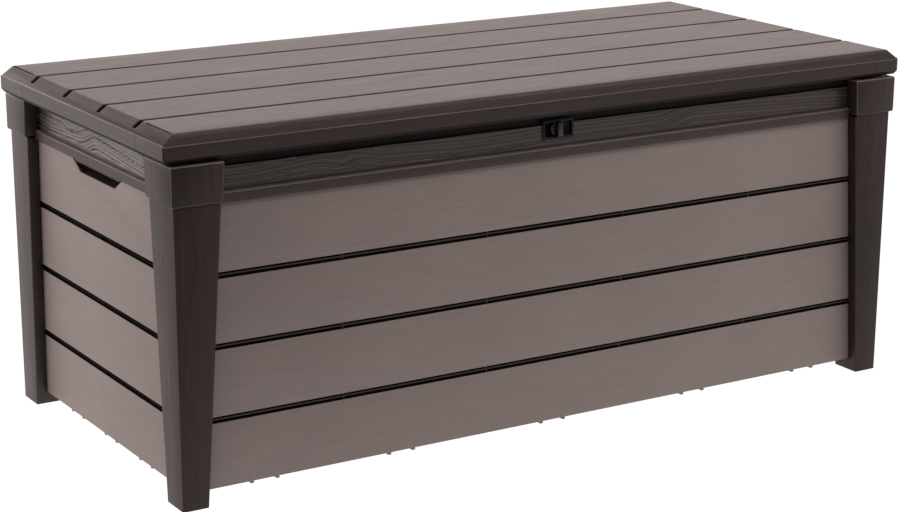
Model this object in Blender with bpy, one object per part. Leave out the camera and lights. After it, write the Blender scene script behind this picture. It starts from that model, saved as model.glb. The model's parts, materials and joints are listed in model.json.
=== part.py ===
"""Deck storage box of moulded resin, with a hinged lid on gas struts and a turning latch.

Metres, +Z up. +X runs along the box to its right end, and the front faces -Y.
The row's origin is under the middle of the bounding box, on the ground. The box's own
middle lies a little in front of it, because the hinges stand proud behind.
"""

import math

import bmesh
import bpy
from mathutils import Matrix, Vector

# Overall
LENGTH = 1.456
LID_DEPTH = 0.670
HEIGHT = 0.605
GAP = 0.0003

# Lid
RIM_BOTTOM = 0.5600
RIM_TOP = 0.5885
RIM_CHAMFER = 0.006
END_SLOPE = 0.0225
SIDE_SLOPE = 0.0065
LID_WALL = 0.0055
LID_UNDERSIDE = 0.5898
LID_CAVITY_END = 0.706
LID_CAVITY_SIDE = 0.3265
LID_TOP_SKIN = 0.0040
PLANK_PITCH = 0.140
LID_GROOVE_WIDTH = 0.005
LID_GROOVE_DEPTH = 0.005
LID_GROOVE_FOOT = 0.5930
LID_GROOVE_RUN = 0.7145
POCKET_REACH = 0.636
POCKET_SIDE = 0.293
POCKET_COLUMNS = 6
POCKET_RIB = 0.0055
BAR_Y = 0.14
BAR_LENGTH = 1.20
BAR_WIDTH = 0.020
BAR_HEIGHT = 0.014
BAR_WALL = 0.0015

# Walls: distance of each panel's outer face from the middle
FACE_X = 0.693
FACE_Y = 0.3135
WALL_DEPTH = 0.018
SKIN = 0.0038
PANEL_BOTTOM = 0.0215
PANEL_TOP = 0.4862
FLANGE = 0.004
GROOVE_HEIGHTS = (0.1355, 0.2555, 0.3705)
GROOVE_HALF = 0.0045
GROOVE_DEPTH = 0.005
BEAD_HALF = 0.0015
BEAD_DEPTH = 0.0025
RIDGE_HALF = 0.0075
RIDGE_DEPTH = 0.0088
RIB_WIDTH = 0.004
LONG_RIBS = 6
SHORT_RIBS = 3

# Top rails, with the ledge along their foot
RAIL_TOP = 0.5895
RAIL_BACK = 0.001
RAIL_SKIN = 0.0045
LEDGE_TOP = 0.5035
LEDGE_BOTTOM = 0.4865
LEDGE_PROUD = 0.0065
COVE_TOP = 0.5060
COVE_DEPTH = 0.0020
RAIL_FLANGE = 0.004
RECESS_FOOT = 0.5425
RECESS_BACK = 0.0080

# Leg covers: outer corner, and widths along X and Y at the ground, the shoulder and the neck.
# The rear legs and caps are narrower along Y.
LEG_X = 0.7135
LEG_Y = 0.3345
LEG_FOOT = (0.0455, 0.0578)
LEG_HEAD = (0.0803, 0.0893)
LEG_NECK = (0.0755, 0.0840)
LEG_SHOULDER = 0.4895
LEG_SHOULDER_RISE = 0.0015
LEG_TOP = 0.520
REAR_LESS = 0.0125
LEG_SKIN = 0.0040
FOOT_SOLE = 0.006

# Leg caps
CAP_X = 0.7185
CAP_Y = 0.3395
CAP_TOP = 0.5570
CAP_BOTTOM = 0.4930
CAP_CHAMFER = 0.003
CAP_LEAD = 0.001
CAP_LIP = 0.0015
CAP_WIDTH = (0.0900, 0.0990)
CAP_FAR_TAPER = 0.0045
CAP_SKIN = 0.004

# Hand slots and the grip pockets behind them
SLOT_Y = 0.007
SLOT_TOP_HALF = 0.106
SLOT_FOOT_HALF = 0.0705
SLOT_FOOT = 0.4642
GRIP_ROOF = 0.4825
GRIP_SKIN = 0.003
GRIP_REACH = 0.034
GRIP_LIP_HALF = 0.091

# Floor and its snap tabs
FLOOR_TOP = 0.0257
TAB_FOOT = 0.0172
TAB_WIDTH = 0.0055
TAB_SPACING = 0.046
TAB_PAIRS_LONG = (-0.557, -0.3025, 0.0, 0.3025, 0.557)
TAB_PAIRS_SHORT = (-0.143, 0.0, 0.143)

# Hinges
HINGE_Y = 0.349
HINGE_Z = 0.5535
HINGE_PLACES = {"left": -0.45, "centre": 0.0, "right": 0.45}
KNUCKLE = 0.0085
PIN = 0.003
HINGE_HALF = 0.030
LEAF_HALF = 0.015
HINGE_PLATE = 0.003
SCREW_OUT = 0.021
BRACKET_SCREW_Z = 0.529
LEAF_SCREW_Z = 0.5775
SCREW = 0.0018
SCREW_HEAD = 0.0042
SCREW_HEAD_HEIGHT = 0.0022
SCREW_LENGTH = 0.0105

# Gas struts: foot and head pivots lie equally far from the lid's hinge
STRUT_X = 0.652
STRUT_ARM = 0.240
STRUT_HEAD_ANGLE = math.radians(-4)
STRUT_SPREAD = math.radians(66)
TUBE = 0.009
TUBE_START = 0.012
TUBE_END = 0.236
BORE = 0.0078
BORE_START = 0.018
GLAND = 0.0043
GLAND_LENGTH = 0.010
ROD = 0.004
ROD_REACH = 0.2415
PISTON = 0.0075
PISTON_LENGTH = 0.006
EYE = 0.008
EYE_HALF = 0.004
STUD = 0.0037
STUD_HEAD = 0.006
BRACKET_PLATE = 0.003

# Latch, in the middle of the front rail
LATCH_Z = 0.5335
HOUSING_HALF = (0.031, 0.0165)
HOUSING_FRAME = 0.0025
HOUSING_PROUD = 0.0015
HOUSING_BACK = 0.012
HOUSING_FLOOR = 0.003
HOUSING_SKIN = 0.0012
KNOB = 0.0118
KNOB_HEIGHT = 0.005
GRIP_BAR = (0.0045, 0.0125)
GRIP_BAR_PROUD = 0.0075
EYE_HOLE = 0.0032
SHAFT = 0.004
CAM_BACK = 0.0210
CAM_THICKNESS = 0.003
CAM_REACH = 0.024
CAM_HALF = 0.005
KEEPER_X = (0.009, 0.027)
KEEPER_LIP = (-0.0135, -0.0075)
KEEPER_PLATE = 0.003

RESIN_DARK = ("resin_dark", (0.045, 0.034, 0.031), 0.55, 0.0)
RESIN_TAUPE = ("resin_taupe", (0.235, 0.195, 0.180), 0.60, 0.0)
RESIN_BLACK = ("resin_black", (0.012, 0.012, 0.013), 0.35, 0.0)
STEEL = ("zinc_steel", (0.55, 0.55, 0.57), 0.35, 1.0)
STEEL_BLACK = ("black_steel", (0.02, 0.02, 0.022), 0.40, 0.3)

REAR_EXTREME = HINGE_Y + KNUCKLE
BOX_SHIFT_Y = (CAP_Y - REAR_EXTREME) / 2

WALLS = {
    "front": ((0.0, -FACE_Y, 0.0), 0.0, FACE_X),
    "right": ((FACE_X, 0.0, 0.0), math.pi / 2, FACE_Y),
    "rear": ((0.0, FACE_Y, 0.0), math.pi, FACE_X),
    "left": ((-FACE_X, 0.0, 0.0), -math.pi / 2, FACE_Y),
}
CORNERS = {
    "front_left": (-1, -1),
    "front_right": (1, -1),
    "rear_left": (-1, 1),
    "rear_right": (1, 1),
}


# ---------------------------------------------------------------- scene helpers


def clear_scene():
    for thing in list(bpy.data.objects):
        bpy.data.objects.remove(thing, do_unlink=True)


def new_collection(name):
    collection = bpy.data.collections.new(name)
    bpy.context.scene.collection.children.link(collection)
    return collection


def finish_material(recipe):
    name, colour, roughness, metallic = recipe
    material = bpy.data.materials.get(name)
    if material is None:
        material = bpy.data.materials.new(name)
        material.use_nodes = True
        shader = material.node_tree.nodes["Principled BSDF"]
        shader.inputs["Base Color"].default_value = (*colour, 1.0)
        shader.inputs["Roughness"].default_value = roughness
        shader.inputs["Metallic"].default_value = metallic
    return material


def pivot(name, location, parent):
    """An empty, placed in the box's own frame, that moving pieces hang on."""
    empty = bpy.data.objects.new(name, None)
    empty.empty_display_size = 0.05
    PARTS.objects.link(empty)
    empty.parent = parent
    offset = Vector(parent["at"]) if parent else Vector()
    empty.location = Vector(location) - offset
    empty["at"] = Vector(location)
    return empty


def to_object(name, mesh_data, collection, parent):
    mesh = bpy.data.meshes.new(name)
    bmesh.ops.recalc_face_normals(mesh_data, faces=mesh_data.faces)
    mesh_data.to_mesh(mesh)
    mesh_data.free()
    thing = bpy.data.objects.new(name, mesh)
    collection.objects.link(thing)
    thing.parent = parent
    thing.location = -Vector(parent["at"])
    return thing


def part(name, mesh_data, recipe, parent, smooth=False):
    """A named piece. Its mesh is given in the box's own frame."""
    thing = to_object(name, mesh_data, PARTS, parent)
    thing.data.materials.append(finish_material(recipe))
    if smooth:
        thing.data.shade_smooth()
        thing.data.set_sharp_from_angle(angle=math.radians(40))
    return thing


def combine(thing, mesh_data, operation):
    """Cuts or joins a mesh, given in the same frame as the piece, with a Boolean."""
    tool = to_object(thing.name + "_tool", mesh_data, CUTTERS, thing.parent)
    tool.location = thing.location
    tool.rotation_euler = thing.rotation_euler
    tool.hide_render = True
    tool.display_type = "WIRE"
    modifier = thing.modifiers.new(operation.lower(), "BOOLEAN")
    modifier.operation = operation
    modifier.solver = "EXACT"
    modifier.object = tool


def cut(thing, mesh_data):
    combine(thing, mesh_data, "DIFFERENCE")


def join(thing, mesh_data):
    combine(thing, mesh_data, "UNION")


def place(thing, location, turn=(0.0, 0.0, 0.0)):
    """Moves a piece made in a frame of its own, and its tools, to a place in the box's frame."""
    tools = [m.object for m in thing.modifiers if m.type == "BOOLEAN"]
    for item in [thing, *tools]:
        item.location = Vector(location) - Vector(item.parent["at"])
        item.rotation_euler = turn


# ---------------------------------------------------------------- mesh helpers


def box(low, high, into=None):
    bm = bmesh.new() if into is None else into
    low, high = Vector(low), Vector(high)
    size = Matrix.Diagonal((*(high - low), 1.0))
    bmesh.ops.create_cube(bm, size=1.0, matrix=Matrix.Translation((low + high) / 2) @ size)
    return bm


def rod(start, end, radius, segments=16, into=None):
    """A capped cylinder from one point to another."""
    bm = bmesh.new() if into is None else into
    start, end = Vector(start), Vector(end)
    turn = (end - start).to_track_quat("Z", "Y").to_matrix().to_4x4()
    bmesh.ops.create_cone(
        bm,
        cap_ends=True,
        segments=segments,
        radius1=radius,
        radius2=radius,
        depth=(end - start).length,
        matrix=Matrix.Translation((start + end) / 2) @ turn,
    )
    return bm


def sweep(bm, face, shift):
    """Extrudes a face along a straight line, keeping the first face as the other cap."""
    result = bmesh.ops.extrude_face_region(bm, geom=[face], use_keep_orig=True)
    moved = [v for v in result["geom"] if isinstance(v, bmesh.types.BMVert)]
    bmesh.ops.translate(bm, vec=shift, verts=moved)


def prism_x(outline, low, high, into=None):
    """An outline of (y, z) points, extruded along X."""
    bm = bmesh.new() if into is None else into
    face = bm.faces.new([bm.verts.new((low, y, z)) for y, z in outline])
    sweep(bm, face, (high - low, 0.0, 0.0))
    return bm


def prism_y(outline, low, high, into=None):
    """An outline of (x, z) points, extruded along Y."""
    bm = bmesh.new() if into is None else into
    face = bm.faces.new([bm.verts.new((x, low, z)) for x, z in outline])
    sweep(bm, face, (0.0, high - low, 0.0))
    return bm


def stack(levels):
    """A solid through stacked rectangles: each level is (z, low x, high x, low y, high y)."""
    bm = bmesh.new()
    rings = []
    for z, x0, x1, y0, y1 in levels:
        corners = ((x0, y0), (x1, y0), (x1, y1), (x0, y1))
        rings.append([bm.verts.new((x, y, z)) for x, y in corners])
    bm.faces.new(rings[0])
    bm.faces.new(rings[-1])
    for lower, upper in zip(rings, rings[1:]):
        for i in range(4):
            j = (i + 1) % 4
            bm.faces.new((lower[i], lower[j], upper[j], upper[i]))
    return bm


def corner_levels(signs, levels):
    """Levels given as (z, outer x, outer y, width x, width y), laid out at one corner."""
    sx, sy = signs
    result = []
    for z, x, y, width_x, width_y in levels:
        xs = sorted((sx * x, sx * (x - width_x)))
        ys = sorted((sy * y, sy * (y - width_y)))
        result.append((z, *xs, *ys))
    return result


# ---------------------------------------------------------------- walls


def panel_outline():
    """The wall panel's section, (inward, z), from the outer foot up and back down inside."""
    outline = [(0.0, PANEL_BOTTOM)]
    for z in GROOVE_HEIGHTS:
        outline += [(0.0, z - GROOVE_HALF), (GROOVE_DEPTH, z - GROOVE_HALF)]
        outline += [(GROOVE_DEPTH, z - BEAD_HALF), (BEAD_DEPTH, z - BEAD_HALF)]
        outline += [(BEAD_DEPTH, z + BEAD_HALF), (GROOVE_DEPTH, z + BEAD_HALF)]
        outline += [(GROOVE_DEPTH, z + GROOVE_HALF), (0.0, z + GROOVE_HALF)]
    outline += [(0.0, PANEL_TOP), (WALL_DEPTH, PANEL_TOP)]
    outline += [(WALL_DEPTH, PANEL_TOP - FLANGE), (SKIN, PANEL_TOP - FLANGE)]
    for z in reversed(GROOVE_HEIGHTS):
        outline += [(SKIN, z + RIDGE_HALF + GROOVE_DEPTH), (RIDGE_DEPTH, z + RIDGE_HALF)]
        outline += [(RIDGE_DEPTH, z - RIDGE_HALF), (SKIN, z - RIDGE_HALF - GROOVE_DEPTH)]
    outline += [(SKIN, PANEL_BOTTOM + FLANGE), (WALL_DEPTH, PANEL_BOTTOM + FLANGE)]
    outline += [(WALL_DEPTH, PANEL_BOTTOM)]
    return outline


def panel_ribs(half, count):
    """Upright ribs on the panel's inner side, from flange to flange."""
    bm = bmesh.new()
    low = PANEL_BOTTOM + FLANGE / 2
    high = PANEL_TOP - FLANGE / 2
    for i in range(count):
        x = -half + RIB_WIDTH / 2 + i * (2 * half - RIB_WIDTH) / (count - 1)
        near = x - RIB_WIDTH / 2 + GAP
        far = x + RIB_WIDTH / 2 - GAP
        box((near, SKIN - FLANGE / 2, low), (far, WALL_DEPTH - GAP, high), bm)
    return bm


def wall_half(side):
    """Half the length of a wall's pieces: the short walls stand between the long ones."""
    half = WALLS[side][2]
    if side in ("left", "right"):
        return half - WALL_DEPTH - GAP
    return half - GAP


def wall_panel(side, parent):
    half = wall_half(side)
    long_wall = side in ("front", "rear")
    thing = part(side + "_panel", prism_x(panel_outline(), -half, half), RESIN_TAUPE, parent)
    join(thing, panel_ribs(half - RIB_WIDTH, LONG_RIBS if long_wall else SHORT_RIBS))
    if not long_wall:
        join(thing, strut_pad(1 if side == "right" else -1))
        shift = SLOT_Y if side == "right" else -SLOT_Y
        cut(thing, slot_cutter(shift))
        grip_clearance(thing, shift)
    location, turn, _ = WALLS[side]
    place(thing, location, (0.0, 0.0, turn))
    return thing


def strut_pad(sign):
    """A thick pad behind the strut's wall bracket, in a short panel's own frame."""
    xs = sorted((sign * (STRUT_FOOT.y - 0.029), sign * (STRUT_FOOT.y + 0.027)))
    low = (xs[0], SKIN / 2, STRUT_FOOT.z - 0.019)
    return box(low, (xs[1], WALL_DEPTH - GAP / 2, STRUT_FOOT.z + 0.019))


def slot_outline(shift, grow, foot, head):
    """The hand slot's trapezoid as (x, z), grown sideways, between two heights."""
    slant = (SLOT_TOP_HALF - SLOT_FOOT_HALF) / (PANEL_TOP - SLOT_FOOT)
    low = SLOT_FOOT_HALF + grow + slant * (foot - SLOT_FOOT)
    high = SLOT_FOOT_HALF + grow + slant * (head - SLOT_FOOT)
    return [(shift - low, foot), (shift + low, foot), (shift + high, head), (shift - high, head)]


def slot_cutter(shift):
    outline = slot_outline(shift, 0.0, SLOT_FOOT, PANEL_TOP + 0.01)
    return prism_y(outline, -0.01, WALL_DEPTH + 0.01)


def hand_grip(side, parent):
    """The pocket behind a hand slot, open to the outside, with a lip along its roof."""
    front = SKIN + GAP
    foot = SLOT_FOOT - GRIP_SKIN
    shift = SLOT_Y if side == "right" else -SLOT_Y
    outer = prism_y(slot_outline(shift, GRIP_SKIN, foot, GRIP_ROOF), front, GRIP_REACH)
    thing = part("hand_grip_" + side, outer, RESIN_DARK, parent)
    lip_low = (shift - GRIP_LIP_HALF, RAIL_BACK, GRIP_ROOF - GRIP_SKIN)
    lip_high = (shift + GRIP_LIP_HALF, front + GRIP_SKIN, GRIP_ROOF - GAP)
    join(thing, box(lip_low, lip_high))
    inner = slot_outline(shift, 0.0, SLOT_FOOT, GRIP_ROOF - GRIP_SKIN)
    cut(thing, prism_y(inner, -0.01, GRIP_REACH - GRIP_SKIN))
    location, turn, _ = WALLS[side]
    place(thing, location, (0.0, 0.0, turn))
    return thing


def grip_clearance(thing, shift):
    """Room in a short panel's flange and ribs for the grip pocket."""
    foot = SLOT_FOOT - GRIP_SKIN - GAP
    outline = slot_outline(shift, GRIP_SKIN + GAP, foot, PANEL_TOP + 0.01)
    cut(thing, prism_y(outline, SKIN, WALL_DEPTH + 0.01))


def rail_outline(recessed):
    """The top rail's section, (inward, z): a channel open inwards, with a cove and a ledge.

    The front rail steps back above its face, which leaves room for fingers under the lid.
    """
    inner = RAIL_BACK + RAIL_SKIN
    face_top = [(RAIL_BACK, RAIL_TOP)]
    inner_top = [(inner, RAIL_TOP - RAIL_FLANGE)]
    if recessed:
        step = RECESS_FOOT - RAIL_SKIN
        face_top = [(RECESS_BACK, RAIL_TOP), (RECESS_BACK, RECESS_FOOT)]
        face_top += [(RAIL_BACK + 0.001, RECESS_FOOT), (RAIL_BACK, RECESS_FOOT - 0.001)]
        inner_top = [(inner, step), (RECESS_BACK + RAIL_SKIN, step)]
        inner_top += [(RECESS_BACK + RAIL_SKIN, RAIL_TOP - RAIL_FLANGE)]
    return [
        *face_top,
        (RAIL_BACK, COVE_TOP),
        (COVE_DEPTH, COVE_TOP - 0.001),
        (COVE_DEPTH, LEDGE_TOP + 0.0005),
        (-LEDGE_PROUD + 0.0015, LEDGE_TOP),
        (-LEDGE_PROUD, LEDGE_TOP - 0.0015),
        (-LEDGE_PROUD, LEDGE_BOTTOM),
        (WALL_DEPTH, LEDGE_BOTTOM),
        (WALL_DEPTH, LEDGE_BOTTOM + RAIL_FLANGE),
        (inner, LEDGE_BOTTOM + RAIL_FLANGE),
        *inner_top,
        (WALL_DEPTH, RAIL_TOP - RAIL_FLANGE),
        (WALL_DEPTH, RAIL_TOP),
    ]


def ledge_trim(half, stops):
    """Takes the ledge off behind the leg caps: beyond each stop along the rail."""
    bm = bmesh.new()
    for end, stop in zip((-1, 1), stops):
        xs = sorted((end * (stop - GAP), end * (half + 0.05)))
        low = (xs[0], -LEDGE_PROUD - 0.01, LEDGE_BOTTOM - 0.01)
        high = (xs[1], RAIL_BACK, LEDGE_TOP + 0.01)
        box(low, high, bm)
    return bm


def cap_far_edge(axis, less=0.0):
    """How far from the middle a cap's inner edge stands at the height of the ledge's top."""
    reach = CAP_TOP - CAP_LIP - CAP_BOTTOM - CAP_CHAMFER
    share = (LEDGE_TOP - CAP_BOTTOM - CAP_CHAMFER) / reach
    return (CAP_X, CAP_Y)[axis] - CAP_WIDTH[axis] + CAP_FAR_TAPER * (1.0 - share) + less


def ledge_stops(side):
    """Where a rail's ledge meets the caps, at its low and high end in its own frame."""
    if side in ("front", "rear"):
        return (cap_far_edge(0), cap_far_edge(0))
    front_stop, rear_stop = cap_far_edge(1), cap_far_edge(1, REAR_LESS)
    return (front_stop, rear_stop) if side == "right" else (rear_stop, front_stop)


def top_rail(side, parent):
    half = wall_half(side)
    outline = rail_outline(side == "front")
    thing = part(side + "_rail", prism_x(outline, -half, half), RESIN_DARK, parent)
    cut(thing, ledge_trim(half, ledge_stops(side)))
    if side == "front":
        cut(thing, housing_window())
    if side == "rear":
        cut(thing, bracket_screw_holes())
    location, turn, _ = WALLS[side]
    place(thing, location, (0.0, 0.0, turn))
    return thing


def housing_window():
    """The latch housing's window in the front rail, in the rail's own frame."""
    half_x = HOUSING_HALF[0] - HOUSING_FRAME + GAP
    half_z = HOUSING_HALF[1] - HOUSING_FRAME + GAP
    low = (-half_x, -0.01, LATCH_Z - half_z)
    high = (half_x, RECESS_BACK + RAIL_SKIN + 0.002, LATCH_Z + half_z)
    return box(low, high)


def bracket_screw_holes():
    """Screw holes for the hinge brackets, in the rear rail's own frame."""
    bm = bmesh.new()
    for x in HINGE_PLACES.values():
        for out in (-SCREW_OUT, SCREW_OUT):
            start = (x + out, RAIL_BACK - 0.01, BRACKET_SCREW_Z)
            end = (x + out, RAIL_BACK + RAIL_SKIN + 0.002, BRACKET_SCREW_Z)
            rod(start, end, SCREW + GAP, 8, bm)
    return bm


# ---------------------------------------------------------------- floor


def tab_row(places, reach):
    """Pairs of hooked snap tabs along -Y: each reaches under the panel's bottom flange."""
    bm = bmesh.new()
    inner = reach - WALL_DEPTH - 0.012
    edge = reach - WALL_DEPTH - 0.001
    flange = PANEL_BOTTOM - GAP
    outline = [(-reach + 0.002, TAB_FOOT), (-reach + 0.002, flange), (-edge, flange)]
    outline += [(-edge, FLOOR_TOP - 0.002), (-inner, FLOOR_TOP - 0.002), (-inner, TAB_FOOT)]
    for place_x in places:
        for shift in (-TAB_SPACING / 2, TAB_SPACING / 2):
            middle = place_x + shift
            prism_x(outline, middle - TAB_WIDTH / 2, middle + TAB_WIDTH / 2, bm)
    return bm


def floor_tabs():
    """The tab rows of all four sides, joined in one mesh."""
    bm = bmesh.new()
    rows = (
        (TAB_PAIRS_LONG, FACE_Y, 0.0),
        (TAB_PAIRS_LONG, FACE_Y, math.pi),
        (TAB_PAIRS_SHORT, FACE_X, math.pi / 2),
        (TAB_PAIRS_SHORT, FACE_X, -math.pi / 2),
    )
    for places, reach, turn in rows:
        row = tab_row(places, reach)
        row.transform(Matrix.Rotation(turn, 4, "Z"))
        mesh = bpy.data.meshes.new("tab_row")
        row.to_mesh(mesh)
        row.free()
        bm.from_mesh(mesh)
        bpy.data.meshes.remove(mesh)
    return bm


def floor_panel(parent):
    half_x = FACE_X - WALL_DEPTH - GAP
    half_y = FACE_Y - WALL_DEPTH - GAP
    slab = box((-half_x, -half_y, PANEL_BOTTOM), (half_x, half_y, FLOOR_TOP))
    thing = part("floor_panel", slab, RESIN_TAUPE, parent)
    join(thing, floor_tabs())
    return thing


# ---------------------------------------------------------------- legs and caps


def behind_walls(signs, outer, foot):
    """A cutter for the room that the panels and rails take inside a corner piece."""
    sx, sy = signs
    xs = sorted((sx * (outer[0] + GAP), 0.0))
    ys = sorted((sy * (outer[1] + GAP), 0.0))
    return box((xs[0], ys[0], foot - GAP), (xs[1], ys[1], HEIGHT))


def leg_levels(less, inset, foot, shoulder, head):
    """The leg's levels: widening from its foot to the shoulder, then a straight neck."""
    full = (LEG_HEAD[0], LEG_HEAD[1] - less)
    neck = (LEG_NECK[0], LEG_NECK[1] - less)
    share = foot / LEG_SHOULDER
    low = [a + (b - a) * share for a, b in zip(LEG_FOOT, full)]
    sizes = (
        (foot, low),
        (shoulder, full),
        (shoulder + LEG_SHOULDER_RISE, neck),
        (head, neck),
    )
    corner = (LEG_X - inset, LEG_Y - inset)
    return [(z, *corner, *[width - 2 * inset for width in widths]) for z, widths in sizes]


def rear_less(corner):
    return REAR_LESS if corner.startswith("rear") else 0.0


def leg(corner, parent):
    signs, less = CORNERS[corner], rear_less(corner)
    outer = leg_levels(less, 0.0, 0.0, LEG_SHOULDER, LEG_TOP)
    thing = part("leg_" + corner, stack(corner_levels(signs, outer)), RESIN_DARK, parent)
    inner = leg_levels(less, LEG_SKIN, FOOT_SOLE, LEG_SHOULDER - LEG_SKIN, LEG_TOP + 0.01)
    cut(thing, stack(corner_levels(signs, inner)))
    cut(thing, behind_walls(signs, (FACE_X, FACE_Y), PANEL_BOTTOM))
    return thing


def cap_levels(less):
    """The cap's levels: a lead-in chamfer, far edges that taper downwards, a bevelled top."""
    result = []
    for z, inset, taper in (
        (CAP_BOTTOM, CAP_LEAD, CAP_FAR_TAPER),
        (CAP_BOTTOM + CAP_CHAMFER, 0.0, CAP_FAR_TAPER),
        (CAP_TOP - CAP_LIP, 0.0, 0.0),
        (CAP_TOP, CAP_LIP, 0.0),
    ):
        width_x = CAP_WIDTH[0] - taper - 2 * inset
        width_y = CAP_WIDTH[1] - less - taper - 2 * inset
        result.append((z, CAP_X - inset, CAP_Y - inset, width_x, width_y))
    return result


def leg_cap(corner, parent):
    signs, less = CORNERS[corner], rear_less(corner)
    outer = stack(corner_levels(signs, cap_levels(less)))
    thing = part("leg_cap_" + corner, outer, RESIN_DARK, parent)
    x, y = LEG_X + GAP, LEG_Y + GAP
    widths = (LEG_NECK[0] + 2 * GAP, LEG_NECK[1] - less + 2 * GAP)
    hollow = [(CAP_BOTTOM - 0.01, x, y, *widths), (CAP_TOP - CAP_SKIN, x, y, *widths)]
    cut(thing, stack(corner_levels(signs, hollow)))
    cut(thing, behind_walls(signs, (FACE_X, FACE_Y), CAP_BOTTOM - 0.01))
    return thing


# ---------------------------------------------------------------- lid


def lid_grooves():
    """Cutters for the plank grooves, which turn down the sloped ends."""
    bm = bmesh.new()
    floor = HEIGHT - LID_GROOVE_DEPTH
    bend = LENGTH / 2 - END_SLOPE - 0.002
    far = LENGTH / 2 + 0.01
    half = [(bend, floor), (LID_GROOVE_RUN, LID_GROOVE_FOOT), (far, LID_GROOVE_FOOT)]
    half += [(far, HEIGHT + 0.01)]
    outline = half + [(-x, z) for x, z in reversed(half)]
    for step in (-1.5, -0.5, 0.5, 1.5):
        y = step * PLANK_PITCH
        prism_y(outline, y - LID_GROOVE_WIDTH / 2, y + LID_GROOVE_WIDTH / 2, bm)
    return bm


def lid_pockets():
    """Cutters that thin the lid's top between its ribs, seen from below."""
    bm = bmesh.new()
    edges = [step * PLANK_PITCH for step in (-1.5, -0.5, 0.5, 1.5)]
    lows = [-POCKET_SIDE, *[y + POCKET_RIB for y in edges]]
    highs = [*[y - POCKET_RIB for y in edges], POCKET_SIDE]
    pitch = 2 * POCKET_REACH / POCKET_COLUMNS
    for y0, y1 in zip(lows, highs):
        for i in range(POCKET_COLUMNS):
            x0 = -POCKET_REACH + i * pitch + POCKET_RIB / 2
            low = (x0, y0, LID_UNDERSIDE - 0.004)
            high = (x0 + pitch - POCKET_RIB, y1, HEIGHT - LID_TOP_SKIN)
            box(low, high, bm)
    return bm


def lid_shell(parent):
    x, y = LENGTH / 2, LID_DEPTH / 2
    levels = []
    for z, inset_x, inset_y in (
        (RIM_BOTTOM, RIM_CHAMFER, RIM_CHAMFER),
        (RIM_BOTTOM + RIM_CHAMFER, 0.0, 0.0),
        (RIM_TOP, 0.0, 0.0),
        (HEIGHT, END_SLOPE, SIDE_SLOPE),
    ):
        levels.append((z, -x + inset_x, x - inset_x, -y + inset_y, y - inset_y))
    thing = part("lid_shell", stack(levels), RESIN_DARK, parent)
    wide_x, wide_y = x - LID_WALL - RIM_CHAMFER / 2, y - LID_WALL - RIM_CHAMFER / 2
    low_z = RIM_BOTTOM - 0.005
    high = (LID_UNDERSIDE, -LID_CAVITY_END, LID_CAVITY_END, -LID_CAVITY_SIDE, LID_CAVITY_SIDE)
    cut(thing, stack([(low_z, -wide_x, wide_x, -wide_y, wide_y), high]))
    cut(thing, lid_pockets())
    cut(thing, lid_grooves())
    cut(thing, leaf_screw_holes())
    return thing


def leaf_screw_holes():
    bm = bmesh.new()
    rim = LID_DEPTH / 2
    for x in HINGE_PLACES.values():
        for out in (-SCREW_OUT, SCREW_OUT):
            start = (x + out, rim - LID_WALL - 0.010, LEAF_SCREW_Z)
            rod(start, (x + out, rim + 0.01, LEAF_SCREW_Z), SCREW + GAP, 8, bm)
    return bm


def stiffener(name, y, parent):
    """A square steel tube under the lid's ribs, open at both ends."""
    top = LID_UNDERSIDE - GAP
    low = Vector((-BAR_LENGTH / 2, y - BAR_WIDTH / 2, top - BAR_HEIGHT))
    high = Vector((BAR_LENGTH / 2, y + BAR_WIDTH / 2, top))
    thing = part(name, box(low, high), STEEL, parent)
    wall = Vector((-0.01, BAR_WALL, BAR_WALL))
    cut(thing, box(low + wall, high - wall))
    return thing


# ---------------------------------------------------------------- hinges


def hinge_bracket(place_name, parent):
    """The part of a hinge on the rear rail: a plate, two arms and two knuckles."""
    x = HINGE_PLACES[place_name]
    face = FACE_Y - RAIL_BACK + GAP
    low, high = (x - HINGE_HALF, face, 0.512), (x + HINGE_HALF, face + HINGE_PLATE, 0.548)
    thing = part("hinge_bracket_" + place_name, box(low, high), STEEL_BLACK, parent)
    outline = [(face + 0.001, 0.536), (face + 0.001, 0.547), (HINGE_Y - 0.004, HINGE_Z + 0.007)]
    outline += [(HINGE_Y + 0.003, HINGE_Z), (HINGE_Y, HINGE_Z - 0.0075)]
    arms, knuckles = bmesh.new(), bmesh.new()
    for end in (-1, 1):
        near, far = sorted((x + end * (LEAF_HALF + 2 * GAP), x + end * HINGE_HALF))
        prism_x(outline, near + 5e-5, far - 5e-5, arms)
        rod((near, HINGE_Y, HINGE_Z), (far, HINGE_Y, HINGE_Z), KNUCKLE, 20, knuckles)
    join(thing, arms)
    join(thing, knuckles)
    cut(thing, rod((x - 0.05, HINGE_Y, HINGE_Z), (x + 0.05, HINGE_Y, HINGE_Z), PIN + GAP, 16))
    cut(thing, screw_holes(x, face, face + HINGE_PLATE, BRACKET_SCREW_Z))
    return thing


def screw_holes(x, near, far, z):
    bm = bmesh.new()
    for out in (-SCREW_OUT, SCREW_OUT):
        rod((x + out, near - 0.002, z), (x + out, far + 0.002, z), SCREW + GAP, 8, bm)
    return bm


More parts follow.
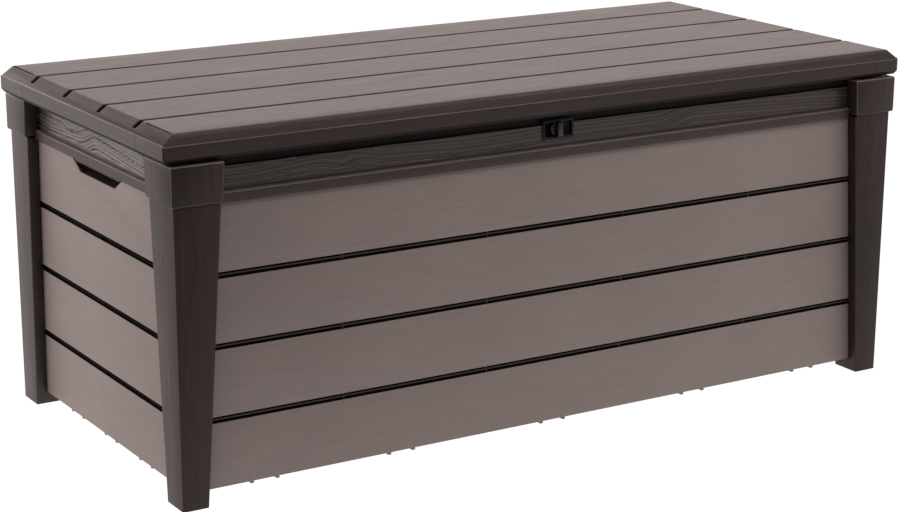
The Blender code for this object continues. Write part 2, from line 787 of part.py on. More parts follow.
def hinge_leaf(place_name, parent):
    """The part of a hinge on the lid's rear rim: a plate, an arm and the middle knuckle."""
    x = HINGE_PLACES[place_name]
    face = LID_DEPTH / 2 + GAP
    low = (x - HINGE_HALF, face, RIM_BOTTOM + 0.006)
    high = (x + HINGE_HALF, face + HINGE_PLATE, RIM_TOP)
    thing = part("hinge_leaf_" + place_name, box(low, high), STEEL_BLACK, parent)
    outline = [(face, RIM_BOTTOM + 0.010), (face, 0.5585), (HINGE_Y - 0.007, HINGE_Z - 0.003)]
    outline += [(HINGE_Y + 0.003, HINGE_Z), (HINGE_Y + 0.002, HINGE_Z + 0.008)]
    outline += [(face + HINGE_PLATE, RIM_BOTTOM + 0.010)]
    near, far = x - LEAF_HALF, x + LEAF_HALF
    join(thing, prism_x(outline, near + 5e-5, far - 5e-5))
    join(thing, rod((near, HINGE_Y, HINGE_Z), (far, HINGE_Y, HINGE_Z), KNUCKLE, 20))
    cut(thing, rod((x - 0.05, HINGE_Y, HINGE_Z), (x + 0.05, HINGE_Y, HINGE_Z), PIN + GAP, 16))
    cut(thing, screw_holes(x, face, face + HINGE_PLATE, LEAF_SCREW_Z))
    return thing


def hinge_pin(place_name, parent):
    x = HINGE_PLACES[place_name]
    end = HINGE_HALF + GAP
    pin = rod((x - end - 0.001, HINGE_Y, HINGE_Z), (x + end + 0.0005, HINGE_Y, HINGE_Z), PIN)
    thing = part("hinge_pin_" + place_name, pin, STEEL, parent, smooth=True)
    join(thing, rod((x + end, HINGE_Y, HINGE_Z), (x + end + 0.002, HINGE_Y, HINGE_Z), 0.0045))
    return thing


def screw(name, head_at, parent):
    """A pan-head screw that points to -Y, with the underside of its head at head_at."""
    x, y, z = head_at
    head = rod((x, y + GAP, z), (x, y + GAP + SCREW_HEAD_HEIGHT, z), SCREW_HEAD, 12)
    thing = part(name, head, STEEL, parent, smooth=True)
    join(thing, rod((x, y - SCREW_LENGTH, z), (x, y + 0.001, z), SCREW, 8))
    return thing


def hinge_screws(place_name, box_parent, lid_parent):
    x = HINGE_PLACES[place_name]
    bracket_face = FACE_Y - RAIL_BACK + GAP + HINGE_PLATE
    leaf_face = LID_DEPTH / 2 + GAP + HINGE_PLATE
    for number, out in ((1, -SCREW_OUT), (2, SCREW_OUT)):
        tail = f"{place_name}_{number}"
        screw("bracket_screw_" + tail, (x + out, bracket_face, BRACKET_SCREW_Z), box_parent)
        screw("leaf_screw_" + tail, (x + out, leaf_face, LEAF_SCREW_Z), lid_parent)


# ---------------------------------------------------------------- gas struts


def arm_end(angle):
    """A point at the struts' arm length from the hinge, at an angle above the -Y direction."""
    return Vector((0.0, HINGE_Y - STRUT_ARM * math.cos(angle), HINGE_Z + STRUT_ARM * math.sin(angle)))


STRUT_HEAD = arm_end(STRUT_HEAD_ANGLE)
STRUT_FOOT = arm_end(STRUT_HEAD_ANGLE - STRUT_SPREAD)


def strut_turn():
    """The turn about X that lays the strut's own +Z from its foot to its head."""
    along = STRUT_HEAD - STRUT_FOOT
    return (math.atan2(-along.y, along.z), 0.0, 0.0)


def add_eye(thing, neck_low, neck_high):
    """An eye round the origin, across X, with a neck along Z."""
    neck = box((-EYE_HALF + 1e-4, -0.0035, neck_low), (EYE_HALF - 1e-4, 0.0035, neck_high))
    join(thing, neck)
    join(thing, rod((-EYE_HALF, 0.0, 0.0), (EYE_HALF, 0.0, 0.0), EYE, 20))
    cut(thing, rod((-0.02, 0.0, 0.0), (0.02, 0.0, 0.0), STUD + 2 * GAP, 16))


def strut_cylinder(side, sign, parent):
    tube = rod((0.0, 0.0, TUBE_START), (0.0, 0.0, TUBE_END), TUBE, 24)
    thing = part("strut_cylinder_" + side, tube, STEEL_BLACK, parent, smooth=True)
    add_eye(thing, 0.005, TUBE_START + 0.002)
    bore_end = TUBE_END - GLAND_LENGTH
    cut(thing, rod((0.0, 0.0, BORE_START), (0.0, 0.0, bore_end), BORE, 24))
    cut(thing, rod((0.0, 0.0, bore_end - 0.001), (0.0, 0.0, TUBE_END + 0.01), GLAND, 24))
    place(thing, (sign * STRUT_X, STRUT_FOOT.y, STRUT_FOOT.z), strut_turn())
    return thing


def strut_rod(side, sign, parent):
    shaft = rod((0.0, 0.0, -ROD_REACH), (0.0, 0.0, -EYE + 0.001), ROD, 24)
    thing = part("strut_rod_" + side, shaft, STEEL, parent, smooth=True)
    piston_end = PISTON_LENGTH - ROD_REACH
    join(thing, rod((0.0, 0.0, -ROD_REACH + 1e-4), (0.0, 0.0, piston_end), PISTON, 24))
    add_eye(thing, -0.014, -0.005)
    place(thing, (sign * STRUT_X, STRUT_HEAD.y, STRUT_HEAD.z), strut_turn())
    return thing


def stud_and_head(thing, sign, plate_face, pivot_at):
    """A stud across X through the strut's eye, with a head on its inner end."""
    head_out = STRUT_X - EYE_HALF - GAP
    y, z = pivot_at.y, pivot_at.z
    plate_end = plate_face + 0.001
    join(thing, rod((sign * plate_end, y, z), (sign * (head_out - 0.001), y, z), STUD, 16))
    join(thing, rod((sign * head_out, y, z), (sign * (head_out - 0.002), y, z), STUD_HEAD, 16))


def strut_wall_bracket(side, sign, parent):
    """The plate and stud on the side wall's ribs, for the strut's foot."""
    face = FACE_X - WALL_DEPTH - GAP
    xs = sorted((sign * face, sign * (face - BRACKET_PLATE)))
    y, z = STRUT_FOOT.y, STRUT_FOOT.z
    low, high = (xs[0], y - 0.030, z - 0.020), (xs[1], y + 0.027, z + 0.020)
    thing = part("strut_wall_bracket_" + side, box(low, high), STEEL, parent)
    stud_and_head(thing, sign, face - BRACKET_PLATE, STRUT_FOOT)
    return thing


def strut_lid_bracket(side, sign, parent):
    """The angle bracket under the lid, with the stud for the strut's head."""
    outer = STRUT_X + 0.015
    y, z = STRUT_HEAD.y, STRUT_HEAD.z
    top = LID_UNDERSIDE - GAP
    web = sorted((sign * outer, sign * (outer - BRACKET_PLATE)))
    foot = sorted((sign * (outer - 0.001), sign * (outer - 0.028)))
    low, high = (web[0], y - 0.018, z - 0.010), (web[1], y + 0.018, top)
    thing = part("strut_lid_bracket_" + side, box(low, high), STEEL, parent)
    flange_low = (foot[0], y - 0.0179, top - 0.0025)
    join(thing, box(flange_low, (foot[1], y + 0.0179, top - 5e-5)))
    stud_and_head(thing, sign, outer - BRACKET_PLATE, STRUT_HEAD)
    return thing


# ---------------------------------------------------------------- latch


def front(depth):
    """A Y behind the front panels' face by depth."""
    return -FACE_Y + depth


def latch_housing(parent):
    """A frame on the rail's face, and a shallow tray behind it for the knob."""
    half_x, half_z = HOUSING_HALF
    face = front(RAIL_BACK) - GAP
    low = (-half_x, face - HOUSING_PROUD, LATCH_Z - half_z)
    thing = part("latch_housing", box(low, (half_x, face, LATCH_Z + half_z)), RESIN_BLACK, parent)
    in_x, in_z = half_x - HOUSING_FRAME, half_z - HOUSING_FRAME
    tray_low = (-in_x, face - HOUSING_PROUD / 2, LATCH_Z - in_z)
    join(thing, box(tray_low, (in_x, front(HOUSING_BACK), LATCH_Z + in_z)))
    room_x, room_z = in_x - HOUSING_SKIN, in_z - HOUSING_SKIN
    room_low = (-room_x, face - 0.01, LATCH_Z - room_z)
    room_high = (room_x, front(HOUSING_BACK - HOUSING_FLOOR), LATCH_Z + room_z)
    cut(thing, box(room_low, room_high))
    hole = rod((0.0, front(-0.01), LATCH_Z), (0.0, front(0.03), LATCH_Z), SHAFT + GAP, 16)
    cut(thing, hole)
    return thing


def latch_knob(parent):
    """A round knob with a raised grip bar, which has a padlock eye, and its shaft."""
    tray = HOUSING_BACK - HOUSING_FLOOR - 2 * GAP
    base = rod((0.0, front(tray - KNOB_HEIGHT), LATCH_Z), (0.0, front(tray), LATCH_Z), KNOB, 24)
    thing = part("latch_knob", base, RESIN_BLACK, parent, smooth=True)
    half_x, half_z = GRIP_BAR
    low = (-half_x, front(-GRIP_BAR_PROUD), LATCH_Z - half_z + 0.001)
    high = (half_x, front(tray - 0.001), LATCH_Z + half_z - 0.001)
    join(thing, box(low, high))
    join(thing, rod((0.0, front(tray - 0.001), LATCH_Z), (0.0, front(CAM_BACK), LATCH_Z), SHAFT, 16))
    eye_y, eye_z = front(-GRIP_BAR_PROUD + 0.0055), LATCH_Z + 0.004
    cut(thing, rod((-0.02, eye_y, eye_z), (0.02, eye_y, eye_z), EYE_HOLE, 12))
    return thing


def latch_cam(parent):
    """The arm on the shaft's inner end. It points up when the latch is open."""
    near, far = front(CAM_BACK + GAP), front(CAM_BACK + GAP + CAM_THICKNESS)
    low = (-CAM_HALF, near, LATCH_Z - 0.0055)
    thing = part("latch_cam", box(low, (CAM_HALF, far, LATCH_Z + CAM_REACH)), STEEL, parent)
    hole = rod((0.0, near - 0.002, LATCH_Z), (0.0, far + 0.002, LATCH_Z), SCREW + GAP, 12)
    cut(thing, hole)
    return thing


def latch_screw(parent):
    """The screw that holds the cam on the shaft."""
    face = front(CAM_BACK + 2 * GAP + CAM_THICKNESS)
    head = rod((0.0, face, LATCH_Z), (0.0, face + SCREW_HEAD_HEIGHT, LATCH_Z), SCREW_HEAD, 12)
    thing = part("latch_screw", head, STEEL, parent, smooth=True)
    tip = front(CAM_BACK + GAP / 2)
    join(thing, rod((0.0, tip, LATCH_Z), (0.0, face + 0.001, LATCH_Z), SCREW, 8))
    return thing


def lid_keeper(parent):
    """A hook under the lid whose lip stands below the cam's arm when the latch is locked."""
    x0, x1 = KEEPER_X
    top = LID_UNDERSIDE - GAP
    plate = front(CAM_BACK + CAM_THICKNESS + 0.0015)
    lip_low, lip_high = (LATCH_Z + drop for drop in KEEPER_LIP)
    hanger = box((x0, plate, lip_low), (x1, plate + KEEPER_PLATE, top))
    thing = part("lid_keeper", hanger, STEEL, parent)
    lip_front = front(CAM_BACK - 0.0005)
    join(thing, box((x0 + 5e-5, lip_front, lip_low + 5e-5), (x1 - 5e-5, plate + 0.001, lip_high)))
    foot_high = (x1 + 0.012, plate + 0.024, top - 5e-5)
    join(thing, box((x0 + 5e-5, plate + 0.001, top - KEEPER_PLATE), foot_high))
    return thing


# ---------------------------------------------------------------- assembly


def make_body(parent):
    floor_panel(parent)
    for side in WALLS:
        wall_panel(side, parent)
        if side in ("left", "right"):
            hand_grip(side, parent)
        top_rail(side, parent)
    for corner in CORNERS:
        leg(corner, parent)
        leg_cap(corner, parent)


def make_lid(lid_axis):
    lid_shell(lid_axis)
    stiffener("lid_stiffener_front", -BAR_Y, lid_axis)
    stiffener("lid_stiffener_rear", BAR_Y, lid_axis)
    lid_keeper(lid_axis)


def make_hinges(parent, lid_axis):
    for place_name in HINGE_PLACES:
        hinge_bracket(place_name, parent)
        hinge_leaf(place_name, lid_axis)
        hinge_pin(place_name, parent)
        hinge_screws(place_name, parent, lid_axis)


def make_struts(parent, lid_axis):
    for side, sign in (("left", -1), ("right", 1)):
        foot_at = (sign * STRUT_X, STRUT_FOOT.y, STRUT_FOOT.z)
        head_at = (sign * STRUT_X, STRUT_HEAD.y, STRUT_HEAD.z)
        foot = pivot(f"strut_foot_{side}", foot_at, parent)
        head = pivot(f"strut_head_{side}", head_at, lid_axis)
        strut_cylinder(side, sign, foot)
        strut_rod(side, sign, head)
        strut_wall_bracket(side, sign, parent)
        strut_lid_bracket(side, sign, lid_axis)


def make_latch(parent):
    axis = pivot("latch_axis", (0.0, front(RAIL_BACK), LATCH_Z), parent)
    latch_housing(parent)
    latch_knob(axis)
    latch_cam(axis)
    latch_screw(axis)


def main():
    middle = pivot("box_middle", (0.0, 0.0, 0.0), None)
    middle.location = (0.0, BOX_SHIFT_Y, 0.0)
    lid_axis = pivot("lid_axis", (0.0, HINGE_Y, HINGE_Z), middle)
    make_body(middle)
    make_lid(lid_axis)
    make_hinges(middle, lid_axis)
    make_struts(middle, lid_axis)
    make_latch(middle)


clear_scene()
PARTS = new_collection("deck_storage_box")
CUTTERS = new_collection("cutters")
main()
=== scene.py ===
"""Looks of the deck storage box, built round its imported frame."""

import json
import math

import bmesh
import bpy
import numpy as np
from mathutils import Matrix, Vector

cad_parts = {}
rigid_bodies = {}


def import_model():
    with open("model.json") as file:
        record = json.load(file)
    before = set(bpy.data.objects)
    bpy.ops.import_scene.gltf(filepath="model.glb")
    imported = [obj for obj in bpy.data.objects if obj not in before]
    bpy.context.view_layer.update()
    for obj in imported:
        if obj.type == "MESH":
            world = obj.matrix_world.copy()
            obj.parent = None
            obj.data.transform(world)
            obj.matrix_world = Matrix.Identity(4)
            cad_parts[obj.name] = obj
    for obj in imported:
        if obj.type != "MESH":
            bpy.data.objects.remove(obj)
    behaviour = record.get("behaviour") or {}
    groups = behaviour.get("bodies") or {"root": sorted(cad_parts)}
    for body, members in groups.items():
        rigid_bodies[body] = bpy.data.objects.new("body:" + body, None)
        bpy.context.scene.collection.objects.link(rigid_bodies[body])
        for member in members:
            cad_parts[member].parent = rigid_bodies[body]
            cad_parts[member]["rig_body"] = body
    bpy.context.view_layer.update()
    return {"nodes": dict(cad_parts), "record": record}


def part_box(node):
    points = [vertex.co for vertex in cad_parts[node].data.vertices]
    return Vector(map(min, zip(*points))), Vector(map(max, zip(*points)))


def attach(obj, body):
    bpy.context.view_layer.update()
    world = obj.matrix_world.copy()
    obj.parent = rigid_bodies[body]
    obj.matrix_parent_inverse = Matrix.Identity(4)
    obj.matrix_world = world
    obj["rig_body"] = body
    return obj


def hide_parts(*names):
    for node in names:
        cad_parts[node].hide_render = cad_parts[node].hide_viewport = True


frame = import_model()
SCENE = bpy.context.scene

# The box's own middle, a little in front of the frame's origin
MIDDLE_Y = (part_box("lid_shell")[0].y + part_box("lid_shell")[1].y) / 2
MIDDLE = Vector((0.0, MIDDLE_Y, 0.0))

# Linear base colours. Rounded edges and the relief's crests get lighter colours as painted highlights,
# and grooves and recesses a near-black one as painted shade
DARK = (0.0215, 0.0130, 0.0128)
TAUPE = (0.184, 0.157, 0.149)
# Painted highlight: the lighter colour given to rounded edges
EDGE_HIGHLIGHT = (0.088, 0.081, 0.079)
# Painted highlight: the lighter colour given to the crests of the rails' relief
CREST_HIGHLIGHT = (0.050, 0.040, 0.038)
# Painted shade: near-black for the lid's grooves, the rail's recess under the rim and the panels' grooves
PAINTED_SHADE = (0.0085, 0.0060, 0.0062)
BLACK = (0.006, 0.0065, 0.0065)
ZINC = (0.50, 0.50, 0.52)

# Heights of the grooves between the panels' planks, and how far a groove's faces lie from them
PANEL_GROOVES = (0.1355, 0.2555, 0.3705)
PANEL_GROOVE_REACH = 0.0065
PANEL_BEAD_HALF = 0.0014

# The lid: the height of its rim's upper edge, the run of its sloped edges, its plank grooves
RIM_TOP = 0.5885
END_RUN, SIDE_RUN = 0.0225, 0.0065
END_LIP, SIDE_LIP = 0.0014, 0.0008
LID_GROOVES = [step * 0.140 for step in (-1.5, -0.5, 0.5, 1.5)]
LID_GROOVE_FLOOR = 0.5920
GROOVE_DEPTH = 0.0070
GROOVE_STOP = 0.0085

# Where the rim's upright seams lie along its ends and its long sides
SEAM_Y, SEAM_X = 0.233, 0.674

# Under the lid: how far its ribs reach, their thickness, the bays along its length, its skin
RIBS_X, RIBS_Y = 0.636, 0.293
RIB = 0.0055
RIB_BASE = 0.584
BAYS = 6
GROOVE_WALL = 0.0055
LID_SKIN = 0.004

# ---------------------------------------------------------------- node helpers


class Nodes:
    """A material's node tree, with short calls for the nodes used here."""

    def __init__(self, name):
        self.material = bpy.data.materials.new(name)
        self.material.use_nodes = True
        self.tree = self.material.node_tree
        self.shader = self.tree.nodes["Principled BSDF"]
        self.place = self.tree.nodes.new("ShaderNodeTexCoord").outputs["Object"]

    def put(self, socket, value):
        if isinstance(value, bpy.types.NodeSocket):
            self.tree.links.new(value, socket)
        else:
            socket.default_value = value

    def mapped(self, scale, offset=(0.0, 0.0, 0.0)):
        node = self.tree.nodes.new("ShaderNodeMapping")
        self.put(node.inputs["Vector"], self.place)
        node.inputs["Scale"].default_value = scale
        node.inputs["Location"].default_value = offset
        return node.outputs["Vector"]

    def noise(self, vector, scale=1.0, detail=3.0, rough=0.5, distortion=0.0):
        node = self.tree.nodes.new("ShaderNodeTexNoise")
        self.put(node.inputs["Vector"], vector)
        node.inputs["Scale"].default_value = scale
        node.inputs["Detail"].default_value = detail
        node.inputs["Roughness"].default_value = rough
        node.inputs["Distortion"].default_value = distortion
        return node.outputs["Fac"]

    def math(self, kind, a, b=0.0, c=0.0):
        node = self.tree.nodes.new("ShaderNodeMath")
        node.operation = kind
        for socket, value in zip(node.inputs, (a, b, c)):
            self.put(socket, value)
        return node.outputs[0]

    def dot(self, direction):
        node = self.tree.nodes.new("ShaderNodeVectorMath")
        node.operation = "DOT_PRODUCT"
        self.put(node.inputs[0], self.place)
        node.inputs[1].default_value = direction
        return node.outputs["Value"]

    def span(self, value, low, high, to_low, to_high):
        """Maps low..high to to_low..to_high, smoothly and clamped."""
        node = self.tree.nodes.new("ShaderNodeMapRange")
        node.interpolation_type = "SMOOTHSTEP"
        for socket, item in zip(node.inputs, (value, low, high, to_low, to_high)):
            self.put(socket, item)
        return node.outputs[0]

    def tint(self, factor, low, high):
        """A colour between low and high."""
        node = self.tree.nodes.new("ShaderNodeMix")
        node.data_type = "RGBA"
        self.put(node.inputs["Factor"], factor)
        node.inputs["A"].default_value = (*low, 1.0)
        node.inputs["B"].default_value = (*high, 1.0)
        return node.outputs["Result"]

    def bump(self, height, distance, strength=1.0, under=None):
        node = self.tree.nodes.new("ShaderNodeBump")
        node.inputs["Strength"].default_value = strength
        node.inputs["Distance"].default_value = distance
        self.put(node.inputs["Height"], height)
        if under is not None:
            self.put(node.inputs["Normal"], under)
        return node.outputs["Normal"]


def scaled(colour, factor):
    return tuple(min(1.0, channel * factor) for channel in colour)


def along_axis(axis, along, across):
    """A mapping scale that stretches a texture along one axis."""
    scale = [across, across, across]
    scale["XYZ".index(axis)] = along
    return scale


RESINS = {}


def resin(slot, colour, axis, rough=0.5, relief=0.0003, level=0.3, contrast=0.2, across=380.0):
    """Moulded wood-grain resin whose grain runs along one axis."""
    key = (slot, axis, rough, relief, colour, level, contrast, across)
    if key in RESINS:
        return RESINS[key]
    n = Nodes(f"{slot}_{axis.lower()}_{len(RESINS)}")
    broad = n.noise(n.mapped(along_axis(axis, 2.2, 26.0)), 1.0, 3.0, 0.5, 0.9)
    rings = n.math("SINE", n.math("MULTIPLY", broad, 58.0))
    ridge = n.math("POWER", n.math("MULTIPLY_ADD", rings, 0.5, 0.5), 1.8)
    streak = n.noise(n.mapped(along_axis(axis, 9.0, across)), 1.0, 4.0, 0.6)
    pores = n.noise(n.mapped(along_axis(axis, 60.0, 900.0), (3.1, 1.7, 0.4)), 1.0, 2.0, 0.5)
    cloud = n.noise(n.mapped((5.0, 5.0, 5.0), (7.0, 2.0, 5.0)), 1.0, 3.0, 0.55)
    shade = n.math("MULTIPLY_ADD", streak, 0.55, n.math("MULTIPLY", cloud, 0.45))
    shade = n.math("MULTIPLY_ADD", ridge, -0.10, shade)
    dark_side, light_side = scaled(colour, 1.0 - contrast), scaled(colour, 1.0 + contrast * 1.1)
    face = n.tint(n.span(shade, 0.25, 0.75, 0.0, 1.0), dark_side, light_side)
    n.put(n.shader.inputs["Base Color"], face)
    n.put(n.shader.inputs["Roughness"], n.span(streak, 0.25, 0.75, rough - 0.05, rough + 0.07))
    n.shader.inputs["Specular IOR Level"].default_value = level
    fine = n.bump(pores, 0.00006)
    middle = n.bump(streak, relief * 0.35, under=fine)
    n.put(n.shader.inputs["Normal"], n.bump(ridge, relief * 0.6, under=middle))
    RESINS[key] = n.material
    return n.material


def satin(slot, colour, rough, metallic=0.0, relief=0.00008, scale=420.0, level=0.5):
    """Plain moulded or plated surfaces: fine texture, faint cloudy variation."""
    key = (slot, rough, metallic, colour, level)
    if key in RESINS:
        return RESINS[key]
    n = Nodes(f"{slot}_{len(RESINS)}")
    grit = n.noise(n.mapped((scale, scale, scale)), 1.0, 3.0, 0.6)
    cloud = n.noise(n.mapped((14.0, 14.0, 14.0)), 1.0, 3.0, 0.5)
    face = n.tint(n.span(cloud, 0.3, 0.7, 0.0, 1.0), scaled(colour, 0.85), scaled(colour, 1.12))
    n.put(n.shader.inputs["Base Color"], face)
    n.put(n.shader.inputs["Roughness"], n.span(grit, 0.3, 0.7, rough - 0.06, rough + 0.08))
    n.shader.inputs["Metallic"].default_value = metallic
    n.shader.inputs["Specular IOR Level"].default_value = level
    n.put(n.shader.inputs["Normal"], n.bump(grit, relief))
    RESINS[key] = n.material
    return n.material


# ---------------------------------------------------------------- mesh helpers


def to_object(name, bm, material, smooth=38.0):
    mesh = bpy.data.meshes.new(name)
    bm.to_mesh(mesh)
    bm.free()
    thing = bpy.data.objects.new(name, mesh)
    SCENE.collection.objects.link(thing)
    mesh.materials.append(material)
    finish_shading(mesh, smooth)
    return thing


def finish_shading(mesh, angle):
    mesh.shade_smooth()
    mesh.set_sharp_from_angle(angle=math.radians(angle))


def body_of(node):
    return frame["nodes"][node]["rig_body"]


def show(thing, node):
    """Puts a detailed piece in a CAD node's place."""
    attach(thing, body_of(node))
    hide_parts(node)
    return thing


def refine(node, width, material, painted_edge_highlight=None, segments=2, smooth=38.0):
    """A copy of a CAD node with its edges rounded over; with a second material, the rounded edges are
    painted in it as a highlight.
    """
    bm = bmesh.new()
    bm.from_mesh(frame["nodes"][node].data)
    bmesh.ops.remove_doubles(bm, verts=bm.verts, dist=2e-6)
    bmesh.ops.dissolve_limit(bm, angle_limit=math.radians(0.8), verts=bm.verts, edges=bm.edges)
    sharp = [e for e in bm.edges if e.is_manifold and e.calc_face_angle(0.0) > math.radians(25)]
    bmesh.ops.bevel(
        bm,
        geom=sharp,
        offset=width,
        segments=segments,
        profile=0.5,
        affect="EDGES",
        clamp_overlap=True,
        miter_outer="SHARP",
        material=1 if painted_edge_highlight else 0,
    )
    bmesh.ops.dissolve_degenerate(bm, dist=1e-6, edges=bm.edges)
    thing = to_object(node + "_moulded", bm, material, smooth)
    if painted_edge_highlight:
        thing.data.materials.append(painted_edge_highlight)
    return show(thing, node)


def box_into(bm, low, high):
    """Adds a box between two corners."""
    low, high = Vector(low), Vector(high)
    place = Matrix.Translation((low + high) / 2) @ Matrix.Diagonal((*(high - low), 1.0))
    bmesh.ops.create_cube(bm, size=1.0, matrix=place)
    return bm


def subtract(thing, bm):
    """Cuts a closed mesh out of an object."""
    bmesh.ops.recalc_face_normals(bm, faces=bm.faces)
    mesh = bpy.data.meshes.new("cutter")
    bm.to_mesh(mesh)
    bm.free()
    tool = bpy.data.objects.new("cutter", mesh)
    SCENE.collection.objects.link(tool)
    modifier = thing.modifiers.new("cut", "BOOLEAN")
    modifier.operation = "DIFFERENCE"
    modifier.solver = "EXACT"
    modifier.object = tool
    graph = bpy.context.evaluated_depsgraph_get()
    result = bpy.data.meshes.new_from_object(thing.evaluated_get(graph))
    thing.modifiers.clear()
    thing.data = result
    bpy.data.objects.remove(tool)


def fillet(points, radii, steps=4):
    """An open polyline with its inner corners rounded by arcs of the given radii."""
    result = [Vector(points[0])]
    for before, here, after, radius in zip(points, points[1:], points[2:], radii):
        here, before, after = Vector(here), Vector(before), Vector(after)
        into, out = (before - here).normalized(), (after - here).normalized()
        angle = math.acos(max(-1.0, min(1.0, into.dot(out)))) / 2
        reach = radius / math.tan(angle)
        centre = here + (into + out).normalized() * (radius / math.sin(angle))
        start, end = here + into * reach, here + out * reach
        for i in range(steps + 1):
            point = start.lerp(end, i / steps) - centre
            result.append(centre + point.normalized() * radius)
    result.append(Vector(points[-1]))
    return result


# ---------------------------------------------------------------- wood relief


def ripple(u, v, seed, terms=7):
    """Smooth deterministic noise over two coordinates in metres."""
    rng = np.random.default_rng(seed)
    total = np.zeros_like(u)
    for _ in range(terms):
        wave_u = rng.uniform(4.0, 26.0) * rng.choice((-1, 1))
        wave_v = rng.uniform(10.0, 130.0)
        phase = rng.uniform(0.0, 2 * math.pi)
        total += rng.uniform(0.4, 1.0) * np.sin(wave_u * u + wave_v * v + phase)
    return total / terms


def hump(u, start, peak, end, height):
    """A hill along u that rises from start to peak and falls off slowly to end."""
    rise = np.clip((u - start) / (peak - start), 0.0, 1.0)
    fall = np.clip((end - u) / (end - peak), 0.0, 1.0)
    return height * (rise * rise * (3 - 2 * rise)) * (fall ** 0.7)


def knot(u, v, at, size, height):
    return height * np.exp(-(((u - at[0]) / size[0]) ** 2) - ((v - at[1]) / size[1]) ** 2)


def relief(field, pitch, depth):
    """Raised lines along the field's contours, cut into the surface, never above it."""
    phase = field / pitch
    line = 0.5 + 0.5 * np.cos(2 * math.pi * phase)
    weight = 0.60 + 0.40 * np.sin(2.1 * phase + 0.7)
    return depth * weight * line**1.2


# ---------------------------------------------------------------- camera, floor and lights


def make_camera():
    azimuth, elevation, roll = (math.radians(a) for a in (-31.563, 16.753, 0.181))
    level = math.cos(elevation)
    back = Vector((math.sin(azimuth) * level, -math.cos(azimuth) * level, math.sin(elevation)))
    right = Vector((math.cos(azimuth), math.sin(azimuth), 0.0))
    up = back.cross(right)
    turn = Matrix((right, up, back)).transposed() @ Matrix.Rotation(roll, 3, "Z")
    data = bpy.data.cameras.new("camera")
    data.sensor_width = 36.0
    data.lens = 91.214
    data.shift_y = 0.0667
    data.clip_end = 200.0
    camera = bpy.data.objects.new("camera", data)
    camera.matrix_world = Matrix.Translation(Vector((-2.1044, -3.3965, 1.3296)) + MIDDLE) @ turn.to_4x4()
    SCENE.collection.objects.link(camera)
    SCENE.camera = camera


def make_floor():
    """A pale, softly glowing floor, like a lit studio table. It dims in front of the box."""
    bm = bmesh.new()
    bmesh.ops.create_grid(bm, x_segments=1, y_segments=1, size=40.0)
    bmesh.ops.translate(bm, vec=(0.0, 0.0, -0.0002), verts=bm.verts)
    n = Nodes("floor")
    n.shader.inputs["Base Color"].default_value = (0.02, 0.02, 0.02, 1.0)
    n.shader.inputs["Roughness"].default_value = 0.9
    n.shader.inputs["Specular IOR Level"].default_value = 0.0
    n.shader.inputs["Emission Color"].default_value = (1.0, 0.94, 0.92, 1.0)
    ahead = n.dot((0.524, 0.852, 0.0))
    n.put(n.shader.inputs["Emission Strength"], n.span(ahead, -1.60, -0.75, 0.55, 1.10))
    floor = to_object("floor", bm, n.material)


WARM = (1.0, 0.885, 0.845)


def area_light(name, place, aim, size, power, colour=WARM):
    data = bpy.data.lights.new(name, "AREA")
    data.shape = "RECTANGLE"
    data.size, data.size_y = size
    data.energy = power
    data.color = colour
    light = bpy.data.objects.new(name, data)
    light.location = Vector(place)
    light.rotation_euler = (Vector(aim) - Vector(place)).to_track_quat("-Z", "Y").to_euler()
    SCENE.collection.objects.link(light)


def make_world():
    """A white studio: brightest behind the box, dim in front of it."""
    world = bpy.data.worlds.new("studio")
    SCENE.world = world
    world.use_nodes = True
    tree = world.node_tree
    sky = tree.nodes["Background"]
    place = tree.nodes.new("ShaderNodeTexCoord")
    dot = tree.nodes.new("ShaderNodeVectorMath")
    dot.operation = "DOT_PRODUCT"
    dot.inputs[1].default_value = (0.42, 0.87, 0.25)
    tree.links.new(place.outputs["Generated"], dot.inputs[0])
    level = tree.nodes.new("ShaderNodeSeparateXYZ")
    tree.links.new(place.outputs["Generated"], level.inputs[0])

    def ramp(value, settings):
        node = tree.nodes.new("ShaderNodeMapRange")
        node.interpolation_type = "SMOOTHSTEP"
        for socket, setting in zip(node.inputs[1:], settings):
            socket.default_value = setting
        tree.links.new(value, node.inputs[0])
        return node.outputs[0]

    glow = tree.nodes.new("ShaderNodeMath")
    glow.operation = "MULTIPLY_ADD"
    tree.links.new(ramp(dot.outputs["Value"], (-0.50, 0.60, 0.0, 1.0)), glow.inputs[0])
    tree.links.new(ramp(level.outputs["Z"], (0.34, 0.58, 2.15, 0.55)), glow.inputs[1])
    glow.inputs[2].default_value = 0.20
    tree.links.new(glow.outputs[0], sky.inputs["Strength"])
    sky.inputs["Color"].default_value = (*WARM, 1.0)


def make_stage():
    """The camera, the floor, the white surroundings and four soft lights."""
    make_camera()
    make_floor()
    make_world()
    area_light("key_left", (-4.2, 0.9, 2.2), (0.0, 0.0, 0.3), (2.2, 2.2), 86.0)
    area_light("top", (0.2, 0.9, 4.2), (0.0, 0.0, 0.3), (4.0, 3.0), 55.0)
    area_light("over_front", (0.9, -1.7, 2.3), (0.3, -0.3, 0.45), (2.6, 0.7), 30.0)
    area_light("fill_right", (2.6, -3.2, 1.6), (0.4, 0.0, 0.35), (1.6, 1.6), 6.0)
    SCENE.view_settings.view_transform = "Standard"


# ---------------------------------------------------------------- pieces

# A rail in its own frame: how far its ledge stands out, and how far its face and the front
# rail's upper part stand back
LEDGE_PROUD = 0.0065
RAIL_BACK = 0.001
RECESS_BACK = 0.0080

# Heights on a rail: the ledge's upper edge, the face's foot, and the front rail's step
LEDGE_TOP = 0.5035
FACE_FOOT = 0.5080
FRONT_FACE_TOP = 0.5415
FRONT_STEP = 0.5425

# Sizes of the relief's mesh, up and along, and the widths of its broad and fine lines
RELIEF_STEP_UP, RELIEF_STEP_ALONG = 0.0012, 0.0024
BROAD_PITCH, FINE_PITCH = 0.0066, 0.0024


